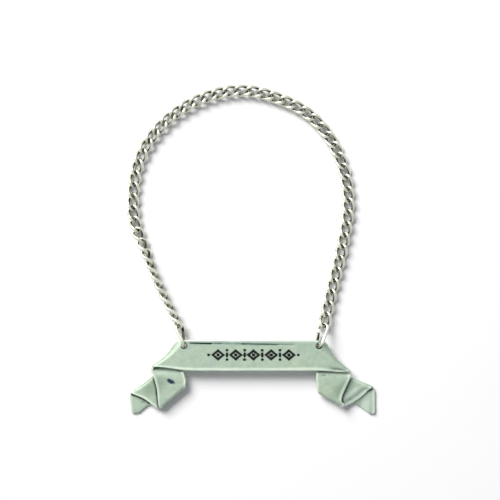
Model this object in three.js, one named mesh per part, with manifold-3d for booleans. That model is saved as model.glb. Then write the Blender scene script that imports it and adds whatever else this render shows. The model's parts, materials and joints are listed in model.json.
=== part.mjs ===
// A decanter label: a pewter banner with folded tails, hung on a loop of curb chain by two oval rings.
// It lies on a table, seen from above: x to the right, y towards the top of the chain, z up.
// Millimetres and degrees. Plan points are measured from the middle between the banner's two holes.
import * as THREE from "three";
import { mergeVertices } from "three/addons/utils/BufferGeometryUtils.js";
import Module from "manifold-3d";

const wasm = await Module();
wasm.setup();

// The banner's strip
const METAL_THICKNESS = 0.9;
const LAYER_GAP = 0.2;
const ROLL_STEPS = 6;
const STRIP_COLUMNS = 5;

// The two holes near the panel's upper corners
const HOLE_SPACING = 40.4;
const HOLE_RADIUS = 1.05;
const HOLE_SIDES = 24;

// The wire of the chain and the rings, and what their openings leave beside the wire that passes through
const WIRE_DIAMETER = 1.0;
const LINK_CLEARANCE = 1.0;
const RING_CLEARANCE = 1.4;
const WIRE_SIDES = 8;
const ARC_STEPS = 6;

// The curb links: a link is twisted by this much each way from its middle, and the play is along the chain
const LINK_PITCH = 3.5;
const LINK_PLAY = 0.2;
const LINK_TWIST = 54;

// The first links from the left ring stand on edge, and the next ones turn until they lie flat
const EDGE_LINKS = 6;
const TURNING_LINKS = 5;
const EDGE_ROLL = 90;

// Each ring, by its reach in plan from the middle of its hole to the chain's nearest pivot,
// and by the angle of its plane to the table at the chain and at the hole
const LEFT_RING = { reach: [-1.55, 5.85], chainAngle: 50, holeAngle: 90 };
const RIGHT_RING = { reach: [1.55, 5.95], chainAngle: 38, holeAngle: 64 };

// The chain's middle line between the rings, from left to right, without its height
const CHAIN_PATH = [
  [-26.1, 14.25],
  [-29.3, 21.25],
  [-32.5, 29.65],
  [-35.2, 37.15],
  [-35.7, 44.25],
  [-34.2, 54.65],
  [-29.4, 63.65],
  [-21.6, 70.85],
  [-11.8, 75.45],
  [-1.6, 76.75],
  [8.2, 74.35],
  [17.4, 69.55],
  [24.2, 61.55],
  [28.2, 51.65],
  [29.2, 41.55],
  [27.2, 29.05],
  [24.4, 17.55],
];
const PATH_DIVISIONS = 2000;

// How far the rings lift the chain's two ends above the height at which it lies, and over what length
const END_LIFT = 0.8;
const LIFT_LENGTH = 9;

// Each tail from the panel outwards, in plan from the middle of its own hole: the lines where the strip folds
// back under itself or only bends, with the corner on the strip's upper edge and the one on its lower edge,
// and at last its cut end
const LEFT_TAIL = {
  panelEnd: { top: [1.6, 1.65], bottom: [0.3, -7.35] },
  underPanel: { top: [-2.7, 1.25], bottom: [-10.0, -6.25] },
  shoulder: { top: [0, -8.25], bottom: [-9.4, -8.95] },
  drop: { top: [0.6, -10.55], bottom: [-8.3, -12.75] },
  atTip: { top: [0.7, -12.45], bottom: [-7.4, -19.35] },
  waist: { top: [-4.4, -10.55], bottom: [-12.4, -15.95] },
  outer: { top: [-9.1, -8.85], bottom: [-16.7, -14.65] },
  end: [
    [-10.0, -18.25],
    [-11.0, -18.45],
    [-14.2, -21.15],
    [-15.9, -21.15],
  ],
};
const RIGHT_TAIL = {
  panelEnd: { top: [-2.0, 1.55], bottom: [0.2, -7.45] },
  underPanel: { top: [2.2, 1.15], bottom: [9.9, -6.95] },
  shoulder: { top: [-0.8, -8.55], bottom: [9.7, -9.35] },
  drop: { top: [-0.8, -11.55], bottom: [7.4, -14.55] },
  atTip: { top: [-0.7, -14.15], bottom: [7.8, -18.85] },
  waist: { top: [4.8, -10.75], bottom: [12.4, -15.75] },
  outer: { top: [9.6, -9.35], bottom: [16.8, -12.35] },
  end: [
    [10.0, -17.15],
    [11.9, -18.15],
    [14.0, -19.55],
    [15.7, -20.85],
    [17.2, -20.55],
  ],
};

const PEWTER = new THREE.MeshStandardMaterial({ color: 0xb4c5b2, roughness: 0.42, metalness: 0.85 });
const CHAIN_METAL = new THREE.MeshStandardMaterial({ color: 0xb9b99e, roughness: 0.3, metalness: 0.95 });

const radians = THREE.MathUtils.degToRad;
const UP = new THREE.Vector3(0, 0, 1);

// Sizes that follow from the ones above
const wireRadius = WIRE_DIAMETER / 2;
const wireToPivot = (WIRE_DIAMETER + LINK_PLAY) / 2;
const layerStep = METAL_THICKNESS + LAYER_GAP;
const layerHeight = (layer) => METAL_THICKNESS / 2 + layer * layerStep;
const TAIL_END = layerHeight(0);
const BELOW_TIP = layerHeight(1);
const ABOVE_TIP = layerHeight(2);
const PANEL = layerHeight(3);
const leftHole = new THREE.Vector3(-HOLE_SPACING / 2, 0, PANEL);
const rightHole = new THREE.Vector3(HOLE_SPACING / 2, 0, PANEL);

// A closed body from rows of points: each row is one ring of the surface, and the rows themselves close up
// when `closed` is set, or else get a flat cap at both ends
function bodyFromRows(rows, closed) {
  const sides = rows[0].length;
  const positions = rows.flat().flatMap((point) => point.toArray());
  const index = [];
  const bands = closed ? rows.length : rows.length - 1;
  for (let i = 0; i < bands; i++) {
    const here = i * sides;
    const next = ((i + 1) % rows.length) * sides;
    for (let k = 0; k < sides; k++) {
      const side = (k + 1) % sides;
      index.push(here + k, next + k, here + side);
      index.push(here + side, next + k, next + side);
    }
  }
  if (!closed) {
    const last = (rows.length - 1) * sides;
    for (let k = 1; k < sides / 2; k++) {
      const across = sides - k;
      index.push(k - 1, k, across % sides);
      index.push(k, across - 1, across % sides);
      index.push(last + k - 1, last + (across % sides), last + k);
      index.push(last + k, last + (across % sides), last + across - 1);
    }
  }
  const geometry = new THREE.BufferGeometry();
  geometry.setAttribute("position", new THREE.Float32BufferAttribute(positions, 3));
  geometry.setIndex(index);
  return geometry;
}

// One oval of round wire along x, with its plane turned from `startAngle` at its low end to `endAngle`
function ovalLoop(clearance, startX, endX, startAngle, endAngle) {
  const loopRadius = WIRE_DIAMETER + clearance / 2;
  const middle = (startX + endX) / 2;
  const straight = (endX - startX) / 2 - loopRadius;
  const outline = [];
  for (const side of [1, -1]) {
    for (let i = 0; i <= ARC_STEPS; i++) {
      const turn = Math.PI * (i / ARC_STEPS - 0.5);
      const x = middle + side * (straight + loopRadius * Math.cos(turn));
      outline.push({ x, reach: side * loopRadius * Math.sin(turn) });
    }
  }
  const places = outline.map(({ x, reach }) => {
    const share = (x - startX) / (endX - startX);
    const angle = radians(THREE.MathUtils.lerp(startAngle, endAngle, share));
    const centre = new THREE.Vector3(x, reach * Math.cos(angle), reach * Math.sin(angle));
    return { centre, upright: new THREE.Vector3(0, -Math.sin(angle), Math.cos(angle)) };
  });
  const rows = places.map(({ centre, upright }, i) => {
    const before = places.at(i - 1).centre;
    const after = places[(i + 1) % places.length].centre;
    const along = after.clone().sub(before).normalize();
    const outward = along.clone().cross(upright).normalize();
    const raised = outward.clone().cross(along);
    const row = [];
    for (let k = 0; k < WIRE_SIDES; k++) {
      const angle = (2 * Math.PI * (k + 0.5)) / WIRE_SIDES;
      const point = centre.clone();
      point.addScaledVector(outward, wireRadius * Math.cos(angle));
      point.addScaledVector(raised, wireRadius * Math.sin(angle));
      row.push(point);
    }
    return row;
  });
  return bodyFromRows(rows, true);
}

// A mesh that stretches from one pivot to the next, with its own x axis along that line
function spanMesh(name, geometry, from, to, roll) {
  const along = to.clone().sub(from).normalize();
  const left = UP.clone().cross(along).normalize();
  const above = along.clone().cross(left);
  const mesh = new THREE.Mesh(geometry, CHAIN_METAL);
  mesh.name = name;
  mesh.quaternion.setFromRotationMatrix(new THREE.Matrix4().makeBasis(along, left, above));
  mesh.rotateX(radians(roll));
  mesh.position.copy(from);
  return mesh;
}

// The turn of a curb link about the chain's line: on edge by the left ring, flat after the turning links
function linkRoll(number) {
  const turned = THREE.MathUtils.clamp((number - EDGE_LINKS) / TURNING_LINKS, 0, 1);
  return EDGE_ROLL * (1 - turned);
}

// How high a curb link's middle lies above the table when it is turned by `roll`
function lyingHeight(geometry, roll) {
  const corner = new THREE.Vector3();
  const places = geometry.getAttribute("position");
  let lowest = 0;
  for (let i = 0; i < places.count; i++) {
    corner.fromBufferAttribute(places, i).applyAxisAngle(new THREE.Vector3(1, 0, 0), radians(roll));
    lowest = Math.min(lowest, corner.z);
  }
  return -lowest;
}

// The pivots between the links, evenly spaced along the chain's path, at the height at which each pair lies
function chainPivots(geometry, count, path) {
  const length = path.getLength();
  const pivots = path.getSpacedPoints(count);
  pivots.forEach((pivot, i) => {
    const before = lyingHeight(geometry, linkRoll(Math.max(i, 1)));
    const after = lyingHeight(geometry, linkRoll(Math.min(i + 1, count)));
    const fromEnd = (Math.min(i, count - i) * length) / count;
    const lift = END_LIFT * Math.max(0, 1 - fromEnd / LIFT_LENGTH) ** 2;
    pivot.z = Math.max(before, after) + lift;
  });
  return pivots;
}

function buildChain() {
  const plan = ([x, y]) => new THREE.Vector3(x, y, 0);
  const chainStart = plan(LEFT_RING.reach).add(leftHole).setZ(0);
  const chainEnd = plan(RIGHT_RING.reach).add(rightHole).setZ(0);
  const path = new THREE.CatmullRomCurve3([chainStart, ...CHAIN_PATH.map(plan), chainEnd]);
  path.arcLengthDivisions = PATH_DIVISIONS;
  const count = Math.round(path.getLength() / LINK_PITCH);
  const pitch = path.getLength() / count;
  const link = ovalLoop(LINK_CLEARANCE, -wireToPivot, pitch + wireToPivot, LINK_TWIST, -LINK_TWIST);
  const pivots = chainPivots(link, count, path);
  const chain = new THREE.Group();
  for (let i = 1; i <= count; i++) {
    const name = "link_" + String(i).padStart(2, "0");
    chain.add(spanMesh(name, link, pivots[i - 1], pivots[i], linkRoll(i)));
  }
  chain.add(leftRingMesh(pivots[0]), rightRingMesh(pivots.at(-1)));
  return chain;
}

// The rings run from the hole in the banner to the chain's nearest pivot
function leftRingMesh(pivot) {
  const { holeAngle, chainAngle } = LEFT_RING;
  const span = leftHole.distanceTo(pivot);
  const ring = ovalLoop(RING_CLEARANCE, 0, span + wireToPivot, holeAngle, chainAngle);
  return spanMesh("left_ring", ring, leftHole, pivot, 0);
}

function rightRingMesh(pivot) {
  const { holeAngle, chainAngle } = RIGHT_RING;
  const span = rightHole.distanceTo(pivot);
  const ring = ovalLoop(RING_CLEARANCE, -wireToPivot, span, chainAngle, holeAngle);
  return spanMesh("right_ring", ring, pivot, rightHole, 0);
}

// The rulings over one fold: the strip rolls from its incoming heights down to its outgoing ones,
// and its own direction carries it along the fold's line while it rolls
function foldRulings(line, heading, heightsIn, heightsOut) {
  const { top, bottom } = line;
  const axis = bottom.clone().sub(top).normalize();
  const outward = axis.clone().cross(UP);
  if (outward.dot(heading) < 0) outward.negate();
  const lead = heading.dot(axis) / heading.dot(outward);
  const edgePoint = (corner, high, low, turn) => {
    const radius = (high - low) / 2;
    const place = corner.clone();
    place.addScaledVector(outward, radius * (Math.sin(turn) - 1) - METAL_THICKNESS / 2);
    place.addScaledVector(axis, radius * (turn - Math.PI / 2) * lead);
    place.z = (high + low) / 2 + radius * Math.cos(turn);
    return place;
  };
  const rulings = [];
  for (let i = 0; i <= ROLL_STEPS; i++) {
    const turn = (Math.PI * i) / ROLL_STEPS;
    rulings.push([
      edgePoint(top, heightsIn[0], heightsOut[0], turn),
      edgePoint(bottom, heightsIn[1], heightsOut[1], turn),
    ]);
  }
  return rulings;
}

// The rulings of one tail, from the panel to its cut end
function tailRulings(tail, hole) {
  const place = ([x, y]) => new THREE.Vector3(hole.x + x, hole.y + y, 0);
  const lines = {};
  for (const name of ["panelEnd", "underPanel", "shoulder", "drop", "atTip", "waist", "outer"]) {
    lines[name] = { top: place(tail[name].top), bottom: place(tail[name].bottom) };
  }
  const middle = (line) => line.top.clone().lerp(line.bottom, 0.5);
  const heading = (from, to) => middle(to).sub(middle(from)).normalize();
  const outwards = new THREE.Vector3(Math.sign(hole.x), 0, 0);
  const bend = (line, height) => [line.top.clone().setZ(height), line.bottom.clone().setZ(height)];
  const level = (height) => [height, height];
  return [
    bend(lines.panelEnd, PANEL),
    ...foldRulings(lines.underPanel, outwards, level(PANEL), [TAIL_END, ABOVE_TIP]),
    bend(lines.shoulder, ABOVE_TIP),
    bend(lines.drop, ABOVE_TIP),
    ...foldRulings(lines.atTip, heading(lines.shoulder, lines.atTip), level(ABOVE_TIP), level(BELOW_TIP)),
    bend(lines.waist, BELOW_TIP),
    ...foldRulings(lines.outer, heading(lines.waist, lines.outer), level(BELOW_TIP), level(TAIL_END)),
    tail.end.map((corner) => place(corner).setZ(TAIL_END)),
  ];
}

// Evenly spaced points across the strip on one ruling, or along the outline of a cut end
function pointsAcross(outline) {
  const path = new THREE.CurvePath();
  for (let i = 1; i < outline.length; i++) path.add(new THREE.LineCurve3(outline[i - 1], outline[i]));
  return Array.from({ length: STRIP_COLUMNS + 1 }, (_, i) => path.getPointAt(i / STRIP_COLUMNS));
}

// The strip's front and back from its middle surface, as rows that go round its section
function thicken(rows) {
  return rows.map((row, i) => {
    const before = rows[Math.max(i - 1, 0)];
    const after = rows[Math.min(i + 1, rows.length - 1)];
    const front = [];
    const back = [];
    row.forEach((place, j) => {
      const along = after[j].clone().sub(before[j]);
      const across = row[Math.min(j + 1, row.length - 1)].clone().sub(row[Math.max(j - 1, 0)]);
      const normal = across.cross(along).normalize().multiplyScalar(METAL_THICKNESS / 2);
      front.unshift(place.clone().add(normal));
      back.push(place.clone().sub(normal));
    });
    return [...front, ...back];
  });
}

function toSolid(geometry) {
  const bare = geometry.clone();
  bare.deleteAttribute("normal");
  bare.deleteAttribute("uv");
  const merged = mergeVertices(bare);
  const vertProperties = new Float32Array(merged.getAttribute("position").array);
  const triVerts = new Uint32Array(merged.getIndex().array);
  return new wasm.Manifold(new wasm.Mesh({ numProp: 3, vertProperties, triVerts }));
}

function toGeometry(solid) {
  const { numProp, vertProperties, triVerts } = solid.getMesh();
  const geometry = new THREE.BufferGeometry();
  const buffer = new THREE.InterleavedBuffer(vertProperties, numProp);
  geometry.setAttribute("position", new THREE.InterleavedBufferAttribute(buffer, 3, 0));
  geometry.setIndex(new THREE.BufferAttribute(triVerts, 1));
  return geometry;
}

function holeDrill(hole) {
  const depth = METAL_THICKNESS + 2 * LAYER_GAP;
  const drill = new THREE.CylinderGeometry(HOLE_RADIUS, HOLE_RADIUS, depth, HOLE_SIDES);
  drill.rotateX(Math.PI / 2);
  drill.translate(hole.x, hole.y, hole.z);
  return toSolid(drill);
}

function buildBanner() {
  const rulings = [...tailRulings(LEFT_TAIL, leftHole).reverse(), ...tailRulings(RIGHT_TAIL, rightHole)];
  const strip = toSolid(bodyFromRows(thicken(rulings.map(pointsAcross)), false));
  const drilled = strip.subtract(holeDrill(leftHole)).subtract(holeDrill(rightHole));
  const banner = new THREE.Mesh(toGeometry(drilled), PEWTER);
  banner.name = "banner";
  return banner;
}

// The origin goes to the table, in the middle of the label's outline
function centred(label) {
  const box = new THREE.Box3().setFromObject(label, true);
  const middle = box.getCenter(new THREE.Vector3());
  label.position.set(-middle.x, -middle.y, -box.min.z);
  return label;
}

const label = new THREE.Group();
label.add(buildBanner(), buildChain());

export default centred(label);
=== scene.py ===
import json
import math

import bmesh
import bpy
import numpy as np
from mathutils import Matrix, Vector
from mathutils.bvhtree import BVHTree
from mathutils.kdtree import KDTree


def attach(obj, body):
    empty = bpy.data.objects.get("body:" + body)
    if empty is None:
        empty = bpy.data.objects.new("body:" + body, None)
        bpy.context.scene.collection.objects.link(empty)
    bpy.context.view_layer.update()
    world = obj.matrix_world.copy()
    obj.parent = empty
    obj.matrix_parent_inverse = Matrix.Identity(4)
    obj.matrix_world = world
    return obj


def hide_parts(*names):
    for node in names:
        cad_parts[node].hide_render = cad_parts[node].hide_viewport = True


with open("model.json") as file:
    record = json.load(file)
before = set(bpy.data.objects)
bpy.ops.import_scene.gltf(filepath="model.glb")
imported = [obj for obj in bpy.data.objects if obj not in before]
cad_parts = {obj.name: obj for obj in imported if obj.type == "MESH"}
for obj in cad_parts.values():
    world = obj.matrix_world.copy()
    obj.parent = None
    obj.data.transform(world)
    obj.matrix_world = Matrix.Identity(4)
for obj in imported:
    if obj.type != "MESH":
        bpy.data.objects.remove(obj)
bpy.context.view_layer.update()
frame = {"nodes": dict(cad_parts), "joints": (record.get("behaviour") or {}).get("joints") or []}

MM = 0.001
UP = Vector((0, 0, 1))

# The ribbon's strip: its metal, the room between its folded layers, how closely its points lie, and how
# often the corners of a bent row are softened
METAL_THICKNESS = 0.9
LAYER_GAP = 0.2
ROLL_STEPS = 14
ROW_SPACING = 0.45
ROW_POINTS = 25
MIDDLE_COLUMNS = 18
SOFTENINGS = 2

# Its rounded edges and corners, and its raised rim, which slopes down to the sunk field. The stops are two
# more lines of points on that slope
EDGE_RADIUS = 0.36
EDGE_STEPS = 4
CORNER_RADIUS = 0.65
RIM_WIDTH = 0.3
SLOPE_STOPS = (0.5, 0.65)
FIELD_START = 1.15
FIELD_DEPTH = 0.06

# How far a fold's outer line bows inwards
LEFT_BOW = 0.75
RIGHT_BOW = 1.0
LEFT_OUTER_BOW = 0.4

# The lower edges of the right tail's third stretch and of the panel's right end slope down to the stretch
# below them. The panel's slope sets in between these two distances from the right hole
SOFT_EDGE_WIDTH = 2.5
SOFT_EDGE_DROP = 0.75
PANEL_SOFT_FROM = 2.5
PANEL_SOFT_TO = 6.5

# Low waves left in the metal by hand work
WAVE_DEPTH = 0.02
WAVE_LENGTHS = (7.3, 5.1)

# The line cut along the panel's upper rim: stretches of it from and to an x, with how deep each is, and
# how far it is from the edge at its two ends
GROOVE_STRETCHES = [
    (-18.8, -11.2, 1.0),
    (-11.9, -8.2, 0.65),
    (-8.3, -5.6, 0.35),
    (-5.3, -3.0, 0.3),
    (-3.4, 8.8, 0.9),
    (8.3, 13.2, 0.45),
]
GROOVE_ENDS = (GROOVE_STRETCHES[0][0], GROOVE_STRETCHES[-1][1])
GROOVE_INSETS = (1.05, 1.5)
GROOVE_HALF_WIDTH = 0.28
GROOVE_DEPTH = 0.16
GROOVE_FADE = 0.8

# The dull band that the line runs in: it sets in between these distances from the edge and ends at its
# width. Along the panel it comes over a stretch at the line's left end, and this share of it goes over one
# at the right end
BAND_START = (0.1, 0.5)
BAND_WIDTH = 1.9
BAND_COMES = (-1, 2)
BAND_GOES = (-12, 1)
BAND_LOSS = 0.8

# The two holes: each is narrowest halfway through the metal, where the ring hangs, and flares to both faces
# in these steps. There it is moved a little towards the chain, and the ring's end is moved less, so that it
# hangs free. By the overshoot's steps the drill stands out past each face
HOLE_RADIUS = 1.03
HOLE_WAIST = 0.74
HOLE_SHIFT = 0.2
RING_SHIFT = 0.02
HOLE_DEPTH = METAL_THICKNESS / 2 - FIELD_DEPTH - WAVE_DEPTH
HOLE_STEPS = 6
DRILL_OVERSHOOT = 2
HOLE_SIDES = 40

# The painted shade on the holes' walls, within the first radius. Level metal within the second one gets none
HOLE_SHADE = 0.4
HOLE_SHADE_RADIUS = 1.1 * HOLE_RADIUS
HOLE_RIM_RADIUS = 1.6 * HOLE_RADIUS

# The share of a direction that points up where the strip counts as level, and where a face by a hole does
NEARLY_LEVEL = 0.99
FACE_LEVEL = 0.93

# Dark pits and scuffs. Each of these spots has its place from the middle between the holes, its turn in
# degrees, its half sizes and its strength
STAINS = [
    ((-24.15, -10.75), -32, (1.7, 0.95), 1.0),
    ((21.3, -1.25), 0, (0.4, 0.35), 0.7),
    ((21.9, -7.95), 4, (1.5, 0.35), 0.5),
    ((22.5, -8.75), 6, (2.0, 0.4), 0.6),
    ((29.3, -17.0), 50, (1.8, 0.9), 0.45),
    ((-32.6, -17.1), -25, (1.5, 0.7), 0.4),
]
DENT_DEPTH = 0.05

# Broad places where the metal's colour is darker
DULL_PLACES = [
    ((-29.2, -12.2), 34, (5.2, 3.3), 0.85),
    ((27.6, -13.0), 40, (4.8, 2.8), 0.95),
    ((31.6, -17.6), 40, (2.8, 1.8), 0.6),
    ((-31.8, -17.3), -30, (2.6, 1.5), 0.35),
    ((26.8, -4.0), -45, (5.0, 2.0), 0.3),
]

# Places where the metal is lighter and smoother
BRIGHT_PLACES = [
    ((34.2, -18.6), 75, (4.2, 1.8), 0.75),
    ((30.2, -14.4), 35, (4.6, 1.1), 0.5),
    ((33.0, -10.9), -22, (4.6, 0.9), 0.7),
]

# Places where the painted shade in the nooks is weaker
LESS_SHADE_PLACES = [
    ((31.0, -15.2), 42, (5.0, 2.2), 0.85),
    ((28.6, -8.3), 0, (5.2, 1.4), 0.85),
]

# A spot is whole up to the first of these shares of its half sizes, and gone at the second
SPOT_FADE = (0.35, 1.15)

# How the nooks are found: by this many rays from just above each point, which reach this far
SHELTER_RAYS = 24
SHELTER_REACH = 1.7
SHELTER_START = 0.03

# Each tail in plan from the middle of its own hole: the lines where the strip folds back under itself or
# only bends, with the corner on its upper edge and the one on its lower edge, and its wavy cut end
LEFT_TAIL = {
    "panel_end": [(1.6, 1.9), (0.3, -7.35)],
    "under_panel": [(-2.5, 1.45), (-10.1, -6.2)],
    "shoulder": [(0, -8.25), (-9.4, -8.95)],
    "drop": [(0.6, -10.55), (-8.3, -12.75)],
    "at_tip": [(0.7, -12.45), (-7.4, -19.35)],
    "waist": [(-4.4, -10.55), (-12.4, -15.95)],
    "outer": [(-9.0, -8.6), (-16.75, -14.05)],
    "cut_end": [(-10.0, -17.9), (-11.2, -18.2), (-13.9, -20.45), (-16.0, -20.6)],
}
RIGHT_TAIL = {
    "panel_end": [(-2.0, 1.8), (0.2, -7.45)],
    "under_panel": [(2.2, 1.35), (10.1, -7.7)],
    "shoulder": [(-0.8, -8.55), (9.7, -9.35)],
    "drop": [(-0.8, -11.3), (7.15, -15.0)],
    "neck": [(-0.75, -12.8), (6.9, -16.7)],
    "at_tip": [(-0.7, -14.15), (7.6, -18.85)],
    "waist": [(4.8, -10.75), (12.4, -15.75)],
    "outer": [(9.6, -9.35), (16.8, -12.35)],
    "cut_end": [(10.0, -17.15), (11.9, -18.15), (14.0, -19.55), (15.7, -20.85), (17.2, -20.55)],
}

# The engraved ornament on the panel: a band of lozenge frames, each round a bead, with a spindle and two
# beads between one and the next. Its middle is measured from the middle between the holes
ORNAMENT_MIDDLE = (0.6, -2.65)
FRAME_COUNT = 5
FRAME_SPACING = 5.3
FRAME_WIDTH = 4.2
FRAME_HEIGHT = 3.5
FRAME_STROKE = 0.9
FRAME_BEAD = 0.95
LOZENGE_HOLLOW = 2.1
LOZENGE_POINTS = 32
SPINDLE_WIDTH = 0.75
SPINDLE_HEIGHT = 1.55
BEAD_OFFSET = 1.4
BEAD_SIZE = 0.75
END_BEAD_PLACE = 13.4
OVAL_POINTS = 20
ENGRAVING_DEPTH = 0.2

# The black fill stops short of the field, and stands a hair clear of the engraving's walls and floor
FILL_BELOW_FIELD = 0.07
FILL_INSET = 0.01

# The wire of the chain and the rings. The loops are sized for the model's thicker wire, by the room beside
# the wire that passes through an opening and the play along the chain, and are drawn in by the inset. The
# last value is how far a loop reaches past the pivot to the next one
WIRE_RADIUS = 0.48
WIRE_SIDES = 16
CAD_WIRE_DIAMETER = 1.0
LINK_CLEARANCE = 1.1
RING_CLEARANCE = 1.4
LOOP_INSET = 0.13
LINK_PLAY = 0.3
PAST_PIVOT = (CAD_WIRE_DIAMETER + LINK_PLAY) / 2

# A curb link is twisted by this much each way from its middle. The first links by the left ring stand on
# edge, and the next ones turn until they lie flat
LINK_TWIST = 44
EDGE_LINKS = 6
TURNING_LINKS = 5
EDGE_ROLL = 90

# The angle of each ring's plane to the table
LEFT_RING_ANGLES = {"hole": 90, "chain": 50}
RIGHT_RING_ANGLES = {"hole": 64, "chain": 38}

# The points of a loop's centre line: steps round each end, and shares of the way along each side
ARC_STEPS = 16
SIDE_SHARES = (0.17, 0.33, 0.47, 0.5, 0.53, 0.67, 0.83)

# The butt seam in one side of each closed loop, where the wire's ends meet
SEAM_SHARE = 0.5
SEAM_DEPTH = 0.08

# The right ring is open between two points of its centre line: from the end of its second arc, which is the
# one round the chain, to the second point of the side that follows
SECOND_ARC_END = 2 * ARC_STEPS + len(SIDE_SHARES) + 1
RIGHT_RING_CUT = (SECOND_ARC_END, SECOND_ARC_END + 2)

# The painted shade on a loop's inner side, which sets in between these shares of a direction that points
# inwards, and which gets a little thicker towards the loop's ends, between these shares of its half length
INNER_SIDE = (0.0, 0.55)
SIDE_SHADE = 0.95
TO_LOOP_END = (0.45, 0.9)

# The angle, in degrees, from which the edge between two faces stays crisp
RIBBON_CRISP = 28
FILL_CRISP = 30
WIRE_CRISP = 50

hinges = {joint["child"]: Vector(joint["pos_m"]) / MM for joint in frame["joints"]}
left_hole = hinges["left_ring"]
right_hole = hinges["right_ring"]
between_holes = (left_hole + right_hole) / 2
link_names = sorted(name for name in frame["nodes"] if name.startswith("link_"))


def layer_height(layer):
    """The height of the middle of the strip's metal in one of its folded layers."""
    return METAL_THICKNESS / 2 + layer * (METAL_THICKNESS + LAYER_GAP)


TAIL_END, BELOW_TIP, ABOVE_TIP, PANEL = (layer_height(layer) for layer in range(4))
PANEL_FIELD = PANEL + METAL_THICKNESS / 2 - FIELD_DEPTH


def new_piece(name, vertices, faces):
    """A mesh object from points in millimetres."""
    mesh = bpy.data.meshes.new(name)
    mesh.from_pydata([Vector(v) * MM for v in vertices], [], faces)
    mesh.update()
    piece = bpy.data.objects.new(name, mesh)
    bpy.context.scene.collection.objects.link(piece)
    return piece


def rework(piece, change):
    """Lets `change` work on the piece's mesh."""
    work = bmesh.new()
    work.from_mesh(piece.data)
    change(work)
    work.to_mesh(piece.data)
    work.free()


def face_outwards(piece):
    rework(piece, lambda work: bmesh.ops.recalc_face_normals(work, faces=work.faces))


def smooth(piece, crisp_angle):
    """Shades the piece smoothly, and leaves its edges crisp from this angle on."""
    piece.data.shade_smooth()
    piece.data.set_sharp_from_angle(angle=math.radians(crisp_angle))


def store(piece, name, values):
    """Keeps one number for each point, for the material to read."""
    attribute = piece.data.attributes.new(name, "FLOAT", "POINT")
    attribute.data.foreach_set("value", np.asarray(values, np.float32))


def wall(first, second):
    """The faces between two closed lines of points, which are ranges of the points' numbers."""
    following = [*range(1, len(first)), 0]
    return [(first[k], first[after], second[after], second[k]) for k, after in enumerate(following)]


def fade(value, start, end):
    """0 before `start`, 1 after `end` and smooth between them, for a number or an array."""
    share = np.clip((value - start) / (end - start), 0, 1)
    return share * share * (3 - 2 * share)


# The ribbon

# The shares of the way across the strip at which a row has its points
ACROSS = np.linspace(0, 1, ROW_POINTS)[:, None]


def unit(vector):
    return vector / np.linalg.norm(vector)


def plan_point(hole, place, height=0.0):
    return np.array((hole.x + place[0], hole.y + place[1], height))


def along_edges(first, second):
    """How far apart two rows are at their upper and at their lower ends."""
    steps = np.linalg.norm(second.points - first.points, axis=1)
    return np.array((steps[0], steps[-1]))


class Row:
    """A line across the strip, as points at even shares of the way from its upper edge to its lower one.

    `crest` says how far in plan its two ends are from a fold's outer line or from the strip's cut end,
    `soft` how much the front slopes down along the lower edge, and `thickness` is the strip's there."""

    def __init__(self, points, crest=(math.inf, math.inf)):
        self.points = points
        self.crest = np.array(crest)
        self.soft = 0.0
        self.thickness = 1.0

    def blend(self, other, share):
        made = Row(self.points + (other.points - self.points) * share)
        made.crest = self.crest + (other.crest - self.crest) * share
        made.soft = self.soft + (other.soft - self.soft) * share
        return made


def line_row(corners, crest=(math.inf, math.inf)):
    """A row along a line with any number of corners, which it softens."""
    corners = np.array(corners)
    steps = np.linalg.norm(np.diff(corners, axis=0), axis=1)
    stops = np.concatenate(([0], np.cumsum(steps)))
    places = ACROSS[:, 0] * stops[-1]
    points = np.stack([np.interp(places, stops, corners[:, i]) for i in range(3)], axis=1)
    for _ in range(SOFTENINGS):
        points[1:-1] = (points[:-2] + 2 * points[1:-1] + points[2:]) / 4
    return Row(points, crest)


def fold_rows(line, heading, heights_in, heights_out, bow):
    """The strip rolls down over a fold, and its own direction carries it along the fold's line."""
    top, bottom = line
    axis = unit(bottom - top)
    outward = np.array((axis[1], -axis[0], 0))
    outward = outward * math.copysign(1, outward @ heading)
    lead = (heading @ axis) / (heading @ outward)
    high = heights_in[0] + (heights_in[1] - heights_in[0]) * ACROSS
    low = heights_out[0] + (heights_out[1] - heights_out[0]) * ACROSS
    radius = (high - low) / 2
    bowed = bow * np.sin(math.pi * ACROSS)
    rows = []
    for turn in np.linspace(0, math.pi, ROLL_STEPS + 1):
        reach = radius * (math.sin(turn) - 1) - METAL_THICKNESS / 2 - bowed
        points = top + (bottom - top) * ACROSS + outward * reach
        points = points + axis * (radius * (turn - math.pi / 2) * lead)
        points[:, 2] = ((high + low) / 2 + radius * math.cos(turn))[:, 0]
        to_crest = radius[[0, -1], 0] * (1 - math.sin(turn))
        rows.append(Row(points, to_crest))
    return rows


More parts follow.
